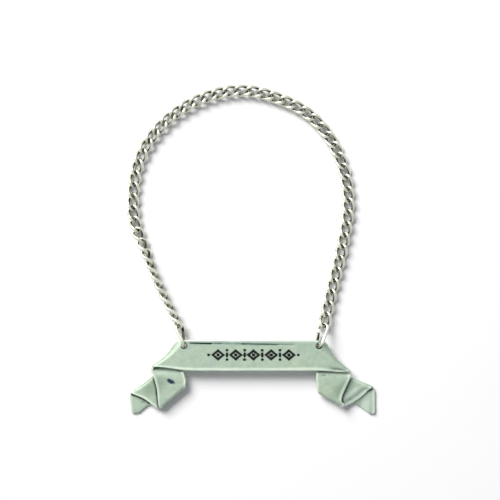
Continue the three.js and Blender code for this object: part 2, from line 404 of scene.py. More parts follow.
def flat_rows(stations, heading_in=None, heading_out=None, soft=0.0):
    """The rows of a level stretch between its stations, along smooth curves that meet its folds straight."""
    points = [station.points for station in stations]
    lengths = [np.linalg.norm(b - a, axis=1, keepdims=True) for a, b in zip(points, points[1:])]
    chords = [(b - a) / length for a, b, length in zip(points, points[1:], lengths)]
    slopes = [chords[0] if heading_in is None else heading_in]
    for i in range(1, len(lengths)):
        share = lengths[i] / (lengths[i - 1] + lengths[i])
        slopes.append(chords[i - 1] * share + chords[i] * (1 - share))
    slopes.append(chords[-1] if heading_out is None else heading_out)
    rows = [stations[0]]
    last = len(lengths) - 1
    for i, length in enumerate(lengths):
        steps = max(1, round(length.max() / ROW_SPACING))
        for u in np.linspace(0, 1, steps + 1)[1:]:
            start_part = (2 * u - 3) * u * u + 1
            leaving = ((u - 2) * u + 1) * u * np.minimum(length, lengths[max(i - 1, 0)]) * slopes[i]
            reaching = (u - 1) * u * u * np.minimum(length, lengths[min(i + 1, last)]) * slopes[i + 1]
            rows.append(Row(points[i] * start_part + points[i + 1] * (1 - start_part) + leaving + reaching))
    gone = np.cumsum([along_edges(a, b) for a, b in zip(rows, rows[1:])], axis=0)
    start, end = stations[0].crest, stations[-1].crest
    for row, distance in zip(rows[1:-1], gone):
        row.crest = np.minimum(start + distance, end + gone[-1] - distance)
        row.soft = soft * fade(row.crest[1], RIM_WIDTH, SOFT_EDGE_WIDTH)
    return rows[1:-1]


def tail_rows(tail, hole, bow, outer_bow, soft):
    """One tail's rows, from the panel's fold to the cut end."""
    plan = {name: [plan_point(hole, place) for place in line] for name, line in tail.items()}

    def heading(start, end):
        return unit(sum(plan[end]) - sum(plan[start]))

    def station(name, height, crest=(math.inf, math.inf)):
        return line_row([corner + (0, 0, height) for corner in plan[name]], crest)

    outwards = np.array((math.copysign(1, hole.x), 0, 0))
    above, below, end = (ABOVE_TIP, ABOVE_TIP), (BELOW_TIP, BELOW_TIP), (TAIL_END, TAIL_END)
    down, across = heading("shoulder", "at_tip"), heading("waist", "outer")
    under_panel = fold_rows(plan["under_panel"], outwards, (PANEL, PANEL), (TAIL_END, ABOVE_TIP), bow)
    at_tip = fold_rows(plan["at_tip"], down, above, below, 0)
    outer = fold_rows(plan["outer"], across, below, end, outer_bow)
    drops = [station(name, ABOVE_TIP) for name in ("shoulder", "drop", "neck") if name in plan]
    cut_end = station("cut_end", TAIL_END, (0, 0))
    return [
        *under_panel,
        *flat_rows([under_panel[-1], *drops, at_tip[0]], None, down),
        *at_tip,
        *flat_rows([at_tip[-1], station("waist", BELOW_TIP), outer[0]], None, across, soft),
        *outer,
        *flat_rows([outer[-1], cut_end]),
        *rounded_end(outer[-1], cut_end),
    ]


def rounded_end(before, end):
    """The last rows, where the strip gets thinner over the rounding of its cut end."""
    length = along_edges(before, end).mean()
    rows = []
    for turn in np.linspace(0, math.pi / 2, EDGE_STEPS + 1):
        inset = EDGE_RADIUS * (1 - math.sin(turn))
        row = end.blend(before, inset / length)
        row.crest = np.full(2, inset)
        row.thickness = 1 - EDGE_RADIUS * (1 - math.cos(turn)) / (METAL_THICKNESS / 2)
        rows.append(row)
    return rows


def ribbon_rows():
    """All rows, from the left tail's cut end over the panel to the right tail's."""
    left = tail_rows(LEFT_TAIL, left_hole, LEFT_BOW, LEFT_OUTER_BOW, 0)
    right = tail_rows(RIGHT_TAIL, right_hole, RIGHT_BOW, 0, 1)
    ends = [
        line_row([plan_point(hole, place, PANEL) for place in tail["panel_end"]])
        for hole, tail in ((left_hole, LEFT_TAIL), (right_hole, RIGHT_TAIL))
    ]
    rightwards = np.array((1, 0, 0))
    panel = flat_rows([left[0], *ends, right[0]], rightwards, rightwards)
    for row in panel:
        from_hole = row.points[-1, 0] - right_hole.x
        row.soft = fade(from_hole, PANEL_SOFT_FROM, PANEL_SOFT_TO)
        row.soft *= fade(row.crest[1], RIM_WIDTH, SOFT_EDGE_WIDTH)
    return [*left[::-1], *panel, *right]


def corner_trim(crest):
    """How much is off a row's end, so that the corners at folds and cut ends are round."""
    inside = np.clip(CORNER_RADIUS - crest, 0, CORNER_RADIUS)
    return CORNER_RADIUS - np.sqrt(CORNER_RADIUS ** 2 - inside ** 2)


def groove_inset(x):
    return np.interp(x, GROOVE_ENDS, GROOVE_INSETS)


def section_stops(width, inset):
    """The places of the points across the strip, as distances from its upper edge."""
    turns = [math.pi / 2 * i / EDGE_STEPS for i in range(EDGE_STEPS + 1)]
    rounding = [EDGE_RADIUS * (1 - math.cos(turn)) for turn in turns]
    groove = [inset + GROOVE_HALF_WIDTH * share for share in (-1, -0.5, 0, 0.5, 1)]
    near = [*rounding, *SLOPE_STOPS, *groove]
    first, last = near[-1], width - near[-1]
    middle = [first + (last - first) * i / MIDDLE_COLUMNS for i in range(1, MIDDLE_COLUMNS)]
    return np.array([*near, *middle, *[width - stop for stop in reversed(near)]])


def groove_amount(x, from_upper):
    """How deep the cut line is, from 0 to 1, at points of the panel's front."""
    across = 1 - np.clip(np.abs(from_upper - groove_inset(x)) / GROOVE_HALF_WIDTH, 0, 1) ** 2
    along = 0
    for start, end, depth in GROOVE_STRETCHES:
        stretch = fade(x, start, start + GROOVE_FADE) * (1 - fade(x, end - GROOVE_FADE, end))
        along = np.maximum(along, depth * stretch)
    return across * along


def band_amount(x, from_upper):
    """The dull band that the cut line runs in."""
    across = fade(from_upper, *BAND_START) * (1 - fade(from_upper, groove_inset(x), BAND_WIDTH))
    start, end = GROOVE_ENDS
    come = fade(x, start + BAND_COMES[0], start + BAND_COMES[1])
    gone = fade(x, end + BAND_GOES[0], end + BAND_GOES[1])
    return across * come * (1 - BAND_LOSS * gone)


def spot_amount(spots, x, y):
    """How strong a list of oval spots is at points in plan."""
    total = np.zeros_like(x)
    for place, degrees, size, strength in spots:
        turn = math.radians(degrees)
        dx = x - between_holes.x - place[0]
        dy = y - between_holes.y - place[1]
        along = (dx * math.cos(turn) + dy * math.sin(turn)) / size[0]
        aside = (dy * math.cos(turn) - dx * math.sin(turn)) / size[1]
        total = np.maximum(total, strength * (1 - fade(np.hypot(along, aside), *SPOT_FADE)))
    return total


def ribbon_net(rows):
    """The points in the middle of the metal, and how far each is from the upper and the lower edge."""
    net, from_upper, from_lower = [], [], []
    for row in rows:
        steps = np.linalg.norm(np.diff(row.points, axis=0), axis=1)
        lengths = np.concatenate(([0], np.cumsum(steps)))
        off_top, off_bottom = corner_trim(row.crest)
        width = lengths[-1] - off_top - off_bottom
        stops = section_stops(width, groove_inset(row.points[0, 0]))
        net.append([np.interp(stops + off_top, lengths, row.points[:, i]) for i in range(3)])
        from_upper.append(stops)
        from_lower.append(width - stops)
    return np.array(net).transpose(0, 2, 1), np.array(from_upper), np.array(from_lower)


def ribbon_relief(rows, net, normals, from_upper, from_lower):
    """How far the front and the back stand off the metal's middle, and the masks for the material."""
    x, y, z = net.transpose(2, 0, 1)
    upright = normals[:, :, 2]
    thickness = np.array([row.thickness for row in rows])[:, None]
    soft = np.array([row.soft for row in rows])[:, None]
    inward = np.minimum(from_upper, from_lower)
    rounded = np.clip(1 - inward / EDGE_RADIUS, 0, 1)
    half = METAL_THICKNESS / 2 - EDGE_RADIUS * (1 - np.sqrt(1 - rounded ** 2))
    half[:, [0, -1]] = 0
    rim = 1 - fade(inward, RIM_WIDTH, FIELD_START)
    inside = inward > EDGE_RADIUS
    front_up = inside & (upright > NEARLY_LEVEL)
    back_up = inside & (upright < -NEARLY_LEVEL)
    on_panel = front_up & (np.abs(z - PANEL) < LAYER_GAP)
    groove = groove_amount(x, from_upper) * on_panel
    band = band_amount(x, from_upper) * on_panel
    stain = spot_amount(STAINS, x, y)
    waves = np.sin(x * 2 * math.pi / WAVE_LENGTHS[0]) * np.sin(y * 2 * math.pi / WAVE_LENGTHS[1] + 1)
    field = (FIELD_DEPTH + WAVE_DEPTH * (waves + 1)) * (1 - rim)
    edge = SOFT_EDGE_DROP * soft * (1 - fade(from_lower, 0, SOFT_EDGE_WIDTH))
    front = half - field - edge - GROOVE_DEPTH * groove - DENT_DEPTH * stain * front_up
    back = half - field - DENT_DEPTH * stain * back_up
    front, back = (np.maximum(height * thickness, 0)[..., None] for height in (front, back))

    none = np.zeros_like(rim)
    facing_up = upright > 0
    dull = spot_amount(DULL_PLACES, x, y)
    # The rims are painted lighter, partly as rubbed wear and partly as a painted highlight
    rub_and_highlight = np.maximum(rim, spot_amount(BRIGHT_PLACES, x, y))
    masks = {
        "rub_and_highlight": (np.where(facing_up, rub_and_highlight, rim), np.where(facing_up, rim, rub_and_highlight)),
        "groove": (groove, none),
        "band": (band, none),
        "dull": (dull * facing_up, dull * ~facing_up),
        "stain": (stain * front_up, stain * back_up),
    }
    return front, back, masks


def build_ribbon():
    rows = ribbon_rows()
    net, from_upper, from_lower = ribbon_net(rows)
    normals = np.cross(np.gradient(net, axis=1), np.gradient(net, axis=0))
    normals /= np.linalg.norm(normals, axis=2, keepdims=True)
    front, back, masks = ribbon_relief(rows, net, normals, from_upper, from_lower)
    ribbon = closed_strip("ribbon", net + normals * front, net - normals * back)
    own_points = [vertex.co.copy() for vertex in ribbon.data.vertices]
    cut_away(ribbon, drill_holes())
    cut_away(ribbon, ornament_blocks("engraving_tool", PANEL + METAL_THICKNESS, ENGRAVING_DEPTH, 0))
    rework(ribbon, split_many_sided)
    smooth(ribbon, RIBBON_CRISP)
    store_masks(ribbon, own_points, masks)
    store(ribbon, "nook_shade", ribbon_nook_shade(ribbon))
    return ribbon


def store_masks(ribbon, own_points, masks):
    """Gives each point the masks of the nearest of the points that the ribbon had before it was cut."""
    finder = KDTree(len(own_points))
    for i, point in enumerate(own_points):
        finder.insert(point, i)
    finder.balance()
    nearest = [finder.find(vertex.co)[1] for vertex in ribbon.data.vertices]
    for name, mask in masks.items():
        store(ribbon, name, around_section(*mask)[nearest])


def ribbon_nook_shade(ribbon):
    """How much painted shade each point gets: more the deeper it lies in a nook, and a set amount on the
    holes' walls.
    """
    x, y = (np.array([vertex.co[i] for vertex in ribbon.data.vertices]) / MM for i in range(2))
    # Painted shade, from how closely the ribbon closes each point in, weakened in the listed places
    nook_shade = shelter(ribbon) * (1 - spot_amount(LESS_SHADE_PLACES, x, y))
    level = np.zeros(len(nook_shade), bool)
    for face in ribbon.data.polygons:
        if abs(face.normal.z) > FACE_LEVEL:
            level[list(face.vertices)] = True
    for hole in (left_hole, right_hole):
        away = np.hypot(x - hole.x, y - hole.y)
        nook_shade = np.where(level & (away < HOLE_RIM_RADIUS), 0, nook_shade)
        nook_shade = np.where(~level & (away < HOLE_SHADE_RADIUS), HOLE_SHADE, nook_shade)
    return nook_shade


def around_section(front, back):
    """Values of the front and the back, in the order of the points round each row."""
    return np.concatenate((front[:, ::-1], back[:, 1:-1]), axis=1).reshape(-1, *front.shape[2:])


def closed_strip(name, front, back):
    """The strip's skin: its front and back, which share the points on the edges, and its two ends."""
    rows, count = front.shape[:2]
    sides = 2 * count - 2
    lines = [range(i * sides, (i + 1) * sides) for i in range(rows)]
    faces = [face for here, there in zip(lines, lines[1:]) for face in wall(here, there)]
    for end in (lines[0], lines[-1]):
        faces.append((end[0], end[1], end[-1]))
        for k in range(1, count - 2):
            faces.append((end[k], end[k + 1], end[-k - 1], end[-k]))
        faces.append((end[count - 2], end[count - 1], end[count]))
    strip = new_piece(name, around_section(front, back), faces)
    face_outwards(strip)
    return strip


def cut_away(piece, tool):
    """Cuts the tool's shape out of the piece and removes the tool."""
    cutting = piece.modifiers.new("cut", "BOOLEAN")
    cutting.operation = "DIFFERENCE"
    cutting.solver = "EXACT"
    cutting.object = tool
    depsgraph = bpy.context.evaluated_depsgraph_get()
    result = bpy.data.meshes.new_from_object(piece.evaluated_get(depsgraph))
    piece.modifiers.remove(cutting)
    before = piece.data
    piece.data = result
    result.name = before.name
    bpy.data.meshes.remove(before)
    bpy.data.objects.remove(tool)


def split_many_sided(work):
    """Splits the faces that the cutting left with more than four corners, which would shade unevenly."""
    many = [face for face in work.faces if len(face.verts) > 4]
    bmesh.ops.triangulate(work, faces=many, ngon_method="BEAUTY")


def drill_holes():
    """A drill for each hole, which flares from its narrow middle to both faces."""
    profile = []
    last = HOLE_STEPS + DRILL_OVERSHOOT
    for step in range(-last, last + 1):
        away = step / HOLE_STEPS
        flare = away * away
        profile.append((HOLE_WAIST + (HOLE_RADIUS - HOLE_WAIST) * flare, HOLE_SHIFT * (1 - flare), away))
    vertices, faces = [], []
    chain = link_ends()
    for hole, pivot in ((left_hole, chain[0][0]), (right_hole, chain[-1][1])):
        to_chain = (pivot - hole) * Vector((1, 1, 0))
        to_chain.normalize()
        rings = []
        for radius, shift, away in profile:
            rings.append(range(len(vertices), len(vertices) + HOLE_SIDES))
            for k in range(HOLE_SIDES):
                turn = 2 * math.pi * k / HOLE_SIDES
                reach = Vector((radius * math.cos(turn), radius * math.sin(turn), away * HOLE_DEPTH))
                vertices.append(hole + to_chain * shift + reach)
        faces += [face for low, high in zip(rings, rings[1:]) for face in wall(low, high)]
        faces += [tuple(reversed(rings[0])), tuple(rings[-1])]
    return new_piece("drill", vertices, faces)


def shelter(piece):
    """How much each point is closed in by the piece itself, from 0 in the open to 1."""
    tree = BVHTree.FromObject(piece, bpy.context.evaluated_depsgraph_get())
    golden = math.pi * (3 - math.sqrt(5))
    dome = []
    for i in range(SHELTER_RAYS):
        height = (i + 0.5) / SHELTER_RAYS
        around = math.sqrt(1 - height * height)
        dome.append(Vector((around * math.cos(golden * i), around * math.sin(golden * i), height)))
    reach = SHELTER_REACH * MM
    found = []
    for vertex in piece.data.vertices:
        turn = UP.rotation_difference(vertex.normal)
        start = vertex.co + vertex.normal * SHELTER_START * MM
        closed = 0
        for direction in dome:
            distance = tree.ray_cast(start, turn @ direction, reach)[3]
            if distance is not None:
                closed += 1 - distance / reach
        found.append(closed / SHELTER_RAYS)
    return np.array(found)


# The ornament

def lozenge(x, width, height):
    """A lozenge with slightly hollow sides."""
    def hollow(size, share):
        return math.copysign(size / 2 * abs(share) ** LOZENGE_HOLLOW, share)

    turns = [2 * math.pi * k / LOZENGE_POINTS for k in range(LOZENGE_POINTS)]
    return [(x + hollow(width, math.cos(turn)), hollow(height, math.sin(turn))) for turn in turns]


def oval(x, y, width, height):
    turns = [2 * math.pi * k / OVAL_POINTS for k in range(OVAL_POINTS)]
    return [(x + width / 2 * math.cos(turn), y + height / 2 * math.sin(turn)) for turn in turns]


def ornament_shapes(inset):
    """The outlines of the ornament's shapes, drawn in by `inset`. A frame has an outer and an inner one."""
    less = 2 * inset
    bead = BEAD_SIZE - less
    first = -(FRAME_COUNT - 1) / 2
    shapes = []
    for i in range(FRAME_COUNT):
        x = (first + i) * FRAME_SPACING
        outer = lozenge(x, FRAME_WIDTH - less, FRAME_HEIGHT - less)
        inner = lozenge(x, FRAME_WIDTH - 2 * FRAME_STROKE + less, FRAME_HEIGHT - 2 * FRAME_STROKE + less)
        shapes += [[outer, inner], [oval(x, 0, FRAME_BEAD - less, FRAME_BEAD - less)]]
    for i in range(FRAME_COUNT - 1):
        x = (first + i + 0.5) * FRAME_SPACING
        shapes.append([oval(x, 0, SPINDLE_WIDTH - less, SPINDLE_HEIGHT - less)])
        shapes += [[oval(x, y, bead, bead)] for y in (BEAD_OFFSET, -BEAD_OFFSET)]
    shapes += [[oval(x, 0, bead, bead)] for x in (END_BEAD_PLACE, -END_BEAD_PLACE)]
    return shapes


def ornament_blocks(name, top, depth, inset):
    """The ornament's shapes as blocks, from a depth below the panel's field up to a height."""
    middle_x = between_holes.x + ORNAMENT_MIDDLE[0]
    middle_y = between_holes.y + ORNAMENT_MIDDLE[1]
    vertices, faces = [], []
    for outlines in ornament_shapes(inset):
        base = len(vertices)
        count = len(outlines[0])
        for z in (PANEL_FIELD - depth, top):
            for outline in outlines:
                vertices += [(middle_x + x, middle_y + y, z) for x, y in outline]
        lines = [range(base + k * count, base + (k + 1) * count) for k in range(2 * len(outlines))]
        bottoms, lids = lines[:len(outlines)], lines[len(outlines):]
        walls = list(zip(bottoms, lids))
        if len(outlines) == 1:
            faces += [tuple(line) for line in lines]
        else:
            walls += [bottoms, lids]
        for first, second in walls:
            faces += wall(first, second)
    blocks = new_piece(name, vertices, faces)
    face_outwards(blocks)
    return blocks


def build_fill():
    """The black fill in the engraving."""
    top = PANEL_FIELD - FILL_BELOW_FIELD
    fill = ornament_blocks("engraving_fill", top, ENGRAVING_DEPTH - FILL_INSET, FILL_INSET)
    smooth(fill, FILL_CRISP)
    return fill


# The wire loops

def loop_line(clearance, start_x, end_x, start_angle, end_angle, seam_depth=SEAM_DEPTH):
    """An oval along x whose plane turns from one angle to the other: its points, uprights and thickness.

    It was twisted by its two ends, so the turn is mostly in its middle."""
    radius = CAD_WIRE_DIAMETER + clearance / 2 - LOOP_INSET
    middle = (start_x + end_x) / 2
    straight = (end_x - start_x) / 2 - radius
    outline = []
    for side in (1, -1):
        for i in range(ARC_STEPS + 1):
            turn = math.pi * (i / ARC_STEPS - 0.5)
            x = middle + side * (straight + radius * math.cos(turn))
            outline.append((x, side * radius * math.sin(turn), 1))
        for share in SIDE_SHARES:
            seam = 1 - seam_depth if side < 0 and share == SEAM_SHARE else 1
            outline.append((middle + side * straight * (1 - 2 * share), side * radius, seam))
    line = []
    for x, reach, thickness in outline:
        turned = (1 - math.cos(math.pi * (x - start_x) / (end_x - start_x))) / 2
        angle = math.radians(start_angle + (end_angle - start_angle) * turned)
        centre = Vector((x, reach * math.cos(angle), reach * math.sin(angle)))
        line.append((centre, Vector((0, -math.sin(angle), math.cos(angle))), thickness))
    return line


def span_matrix(start, end, roll):
    """The place of a piece that runs along x from one pivot to the next."""
    along = (end - start).normalized()
    left = UP.cross(along).normalized()
    above = along.cross(left)
    basis = Matrix((along, left, above)).transposed().to_4x4()
    return Matrix.Translation(start) @ basis @ Matrix.Rotation(math.radians(roll), 4, "X")


def wire_loop(name, line, place, cut=None):
    """Round wire along a closed line, which is left open between the two points that `cut` names."""
    count = len(line)
    middle_x = sum(centre.x for centre, _, _ in line) / count
    half_length = max(abs(centre.x - middle_x) for centre, _, _ in line)
    kept = range(count) if cut is None else [i % count for i in range(cut[1], cut[0] + count + 1)]
    vertices, shade_and_seam = [], []
    for i in kept:
        centre, upright, thickness = line[i]
        along = (line[(i + 1) % count][0] - line[i - 1][0]).normalized()
        outward = along.cross(upright).normalized()
        raised = outward.cross(along)
        # Painted shade on the wire's inner side, stronger towards the loop's ends, and darkening at the seam
        # and at the open ring's cut ends
        to_end = fade(abs(centre.x - middle_x) / half_length, *TO_LOOP_END)
        side_shade = SIDE_SHADE + (1 - SIDE_SHADE) * to_end
        seam_grime = (1 - thickness) / SEAM_DEPTH
        for k in range(WIRE_SIDES):
            turn = 2 * math.pi * k / WIRE_SIDES
            reach = outward * math.cos(turn) + raised * math.sin(turn)
            vertices.append(place @ (centre + reach * WIRE_RADIUS * thickness))
            shade_and_seam.append(max(fade(-math.cos(turn), *INNER_SIDE) * side_shade, seam_grime))
    rings = [range(i * WIRE_SIDES, (i + 1) * WIRE_SIDES) for i in range(len(kept))]
    following = [*rings[1:], rings[0]] if cut is None else rings[1:]
    faces = [face for here, there in zip(rings, following) for face in wall(here, there)]
    if cut is not None:
        for end in (rings[0], rings[-1]):
            faces.append(tuple(end))
            shade_and_seam[end.start:end.stop] = [1] * WIRE_SIDES
    loop = new_piece(name, vertices, faces)
    face_outwards(loop)
    smooth(loop, WIRE_CRISP)
    store(loop, "nook_shade", shade_and_seam)
    return loop


def link_ends():
    """The pivots at both ends of each link.

    The one at the top of the loop has no hinge, so it comes from the middle of the link before it."""
    half = len(link_names) // 2
    starts = {}
    for number, name in enumerate(link_names, 1):
        starts[number if number <= half else number + 1] = hinges[name]
    corners = [vertex.co for vertex in frame["nodes"][link_names[half - 1]].data.vertices]
    link_middle = sum(corners, Vector()) / len(corners) / MM
    starts[half + 1] = 2 * link_middle - starts[half]
    return [(starts[number], starts[number + 1]) for number in range(1, len(link_names) + 1)]


def link_roll(number):
    """Links by the left ring stand on edge, and the next ones turn until they lie flat."""
    turned = min(max((number - EDGE_LINKS) / TURNING_LINKS, 0), 1)
    return EDGE_ROLL * (1 - turned)


def joint_twist(number):
    """How far two links are twisted where the link of that number begins, so that they cross squarely."""
    return LINK_TWIST + (link_roll(number - 1) - link_roll(number)) / 2


def build_link(name, number, start, end):
    """One curb link, from its first pivot to its second."""
    reach = (end - start).length + PAST_PIVOT
    line = loop_line(LINK_CLEARANCE, -PAST_PIVOT, reach, joint_twist(number), -joint_twist(number + 1))
    return wire_loop(name + "_wire", line, span_matrix(start, end, link_roll(number)))


def build_left_ring(chain_start):
    """The ring from the banner's left hole to the chain's first pivot."""
    angles = LEFT_RING_ANGLES
    reach = (chain_start - left_hole).length + PAST_PIVOT
    line = loop_line(RING_CLEARANCE, RING_SHIFT, reach, angles["hole"], angles["chain"])
    return wire_loop("left_ring_wire", line, span_matrix(left_hole, chain_start, 0))


def build_right_ring(chain_end):
    """The open ring from the chain's last pivot to the banner's right hole."""
    angles = RIGHT_RING_ANGLES
    reach = (right_hole - chain_end).length - RING_SHIFT
    line = loop_line(RING_CLEARANCE, -PAST_PIVOT, reach, angles["chain"], angles["hole"], seam_depth=0)
    return wire_loop("right_ring_wire", line, span_matrix(chain_end, right_hole, 0), cut=RIGHT_RING_CUT)


def build_chain():
    """The links and the rings, by the names of the solids that they replace."""
    loops = {}
    ends = link_ends()
    for number, (name, (start, end)) in enumerate(zip(link_names, ends), 1):
        loops[name] = build_link(name, number, start, end)
    loops["left_ring"] = build_left_ring(ends[0][0])
    loops["right_ring"] = build_right_ring(ends[-1][1])
    return loops


# Materials

FLOAT = "NodeSocketFloat"
COLOUR = "NodeSocketColor"


def colour(red, green, blue):
    """A colour as the screen shows it, from 0 to 255, as the linear one that the shader takes."""
    linear = []
    for part in (red, green, blue):
        share = part / 255
        linear.append(share / 12.92 if share <= 0.04045 else ((share + 0.055) / 1.055) ** 2.4)
    return (*linear, 1)


# The stretches of the noise's values that make the patches and the grain
PATCH_RANGE = (0.32, 0.68)
GRAIN_RANGE = (0.25, 0.75)

# How unevenly the painted nook shade and the rims' rub and painted highlight lie, and what they add to the
# roughness
SHADE_AND_RUB_UNEVEN = (0.65, 1.15)
SHINE_ROUGHNESS = -0.12
NOOK_ROUGHNESS = 0.25

# The pewter, its broad patches and fine flecks, its marks, the painted shade in its nooks, and its rims,
# which are lighter as rubbed wear and as a painted highlight
PEWTER_BODY = colour(166, 183, 168)
PEWTER_PATCHES = colour(178, 191, 170)
PEWTER_FLECKS = colour(148, 166, 150)
PEWTER_DULL = colour(132, 152, 130)
PEWTER_BAND = colour(132, 160, 152)
PEWTER_STAIN = colour(40, 60, 76)
PEWTER_NOOK_SHADE = colour(34, 44, 38)
PEWTER_DEEP_NOOK_SHADE = colour(5, 8, 6)
PEWTER_RUB_HIGHLIGHT = colour(216, 226, 212)
PEWTER_ROUGHNESS = (0.62, 0.70)
FLECK_STRENGTH = 0.5
RUB_AND_HIGHLIGHT_STRENGTH = 0.65

# How strongly a mark shows where the pattern that makes it uneven is weakest and where it is strongest
DULL_UNEVEN = (0.5, 1.0)
BAND_UNEVEN = (0.5, 0.85)
STAIN_UNEVEN = (0.3, 1.75)
GROOVE_UNEVEN = (1.0, 0.6)

# The stretches of a mask's values over which the stains, the painted shade in the nooks and its darkest part
# set in
STAIN_RANGE = (0.2, 0.95)
NOOK_SHADE_RANGE = (0.05, 0.2)
DEEP_NOOK_SHADE_RANGE = (0.2, 0.4)

# The plated wire. Its shine sets in over this stretch of the grain, up to this strength
WIRE_BODY = colour(196, 198, 178)
WIRE_PATCHES = colour(222, 223, 205)
WIRE_SHADE_AND_SEAM = colour(22, 24, 14)
WIRE_RUBBED = colour(236, 238, 218)
WIRE_ROUGHNESS = (0.30, 0.40)
WIRE_SHINE_RANGE = (0.3, 0.9)
WIRE_SHINE = 0.5

# The fill in the engraving, and the table
FILL_BODY = colour(6, 8, 8)
FILL_PATCHES = colour(20, 23, 23)
FILL_ROUGHNESS = (0.5, 0.75)
TABLE_BODY = colour(250, 250, 252)
TABLE_GRAIN = colour(253, 253, 255)


def node(tree, kind, inputs=None, **settings):
    """A node with its settings, and its inputs set to values or joined to other nodes' outputs."""
    made = tree.nodes.new(kind)
    for name, value in settings.items():
        setattr(made, name, value)
    for name, value in (inputs or {}).items():
        if isinstance(value, bpy.types.NodeSocket):
            tree.links.new(value, made.inputs[name])
        else:
            made.inputs[name].default_value = value
    return made


def math_node(tree, operation, first, second):
    return node(tree, "ShaderNodeMath", {0: first, 1: second}, operation=operation).outputs[0]


def mix_colours(tree, share, first, second):
    """Two colours mixed. Among the node's sockets, those for colours come after those for numbers."""
    return node(tree, "ShaderNodeMix", {0: share, 6: first, 7: second}, data_type="RGBA").outputs[2]


def spread(tree, value, low, high, to_low=0.0, to_high=1.0):
    """The value's range from low to high laid onto another range, and held at its ends."""
    inputs = {"Value": value, "From Min": low, "From Max": high, "To Min": to_low, "To Max": to_high}
    return node(tree, "ShaderNodeMapRange", inputs, clamp=True).outputs["Result"]


def vary(tree, pattern, low, high):
    """A value that a pattern from 0 to 1 moves from low to high."""
    return spread(tree, pattern, 0, 1, low, high)


def stored(tree, name):
    return node(tree, "ShaderNodeAttribute", attribute_name=name).outputs["Fac"]


def uneven_mark(tree, name, pattern, low, high):
    """A stored mask, which a pattern makes uneven."""
    return math_node(tree, "MULTIPLY", stored(tree, name), vary(tree, pattern, low, high))


def new_group(name, inputs, outputs):
    """A node group with named sockets, each with its kind."""
    tree = bpy.data.node_groups.new(name, "ShaderNodeTree")
    for way, sockets in (("INPUT", inputs), ("OUTPUT", outputs)):
        for socket, kind in sockets.items():
            tree.interface.new_socket(name=socket, in_out=way, socket_type=kind)
    return tree, tree.nodes.new("NodeGroupInput").outputs, tree.nodes.new("NodeGroupOutput").inputs


def use_group(tree, group, inputs):
    return node(tree, "ShaderNodeGroup", inputs, node_tree=group).outputs


def cast_grain_group():
    """The fine grain and the broad cloudy patches of metal that was cast or drawn."""
    scales = {"Patch scale": FLOAT, "Grain scale": FLOAT}
    tree, given, result = new_group("Cast grain", scales, {"Patches": FLOAT, "Grain": FLOAT})
    place = node(tree, "ShaderNodeTexCoord").outputs["Object"]

    def noise(scale, detail):
        inputs = {"Vector": place, "Scale": scale, "Detail": detail}
        return node(tree, "ShaderNodeTexNoise", inputs).outputs["Fac"]

    patches = noise(given["Patch scale"], detail=4)
    grain = noise(given["Grain scale"], detail=3)
    tree.links.new(spread(tree, patches, *PATCH_RANGE), result["Patches"])
    tree.links.new(spread(tree, grain, *GRAIN_RANGE), result["Grain"])
    return tree


def shade_and_highlight_group():
    """Painted shade in the nooks, and on the rims a rubbed shine with a painted highlight."""
    colours = dict.fromkeys(("Colour", "Nook shade colour", "Rub and highlight colour"), COLOUR)
    numbers = dict.fromkeys(("Nook shade", "Rub and highlight", "Roughness", "Patches"), FLOAT)
    outputs = {"Colour": COLOUR, "Roughness": FLOAT}
    tree, given, result = new_group("Nook shade and rim highlight", {**colours, **numbers}, outputs)
    uneven = vary(tree, given["Patches"], *SHADE_AND_RUB_UNEVEN)
    shade = math_node(tree, "MULTIPLY", given["Nook shade"], uneven)
    rub_and_highlight_share = math_node(tree, "MULTIPLY", given["Rub and highlight"], uneven)
    rub_and_highlight = mix_colours(tree, rub_and_highlight_share, given["Colour"], given["Rub and highlight colour"])
    tree.links.new(mix_colours(tree, shade, rub_and_highlight, given["Nook shade colour"]), result["Colour"])
    smoother = math_node(tree, "MULTIPLY", rub_and_highlight_share, SHINE_ROUGHNESS)
    rougher = math_node(tree, "MULTIPLY", shade, NOOK_ROUGHNESS)
    roughness = math_node(tree, "ADD", given["Roughness"], math_node(tree, "ADD", smoother, rougher))
    tree.links.new(roughness, result["Roughness"])
    return tree


def new_material(name):
    material = bpy.data.materials.new(name)
    material.use_nodes = True
    return material, material.node_tree, material.node_tree.nodes["Principled BSDF"].inputs


def join_surface(tree, shader, body, roughness, grain, strength, depth):
    """Gives the shader its colour, its roughness and a fine relief by the grain."""
    tree.links.new(body, shader["Base Color"])
    tree.links.new(roughness, shader["Roughness"])
    inputs = {"Height": grain, "Strength": strength, "Distance": depth * MM}
    tree.links.new(node(tree, "ShaderNodeBump", inputs).outputs["Normal"], shader["Normal"])


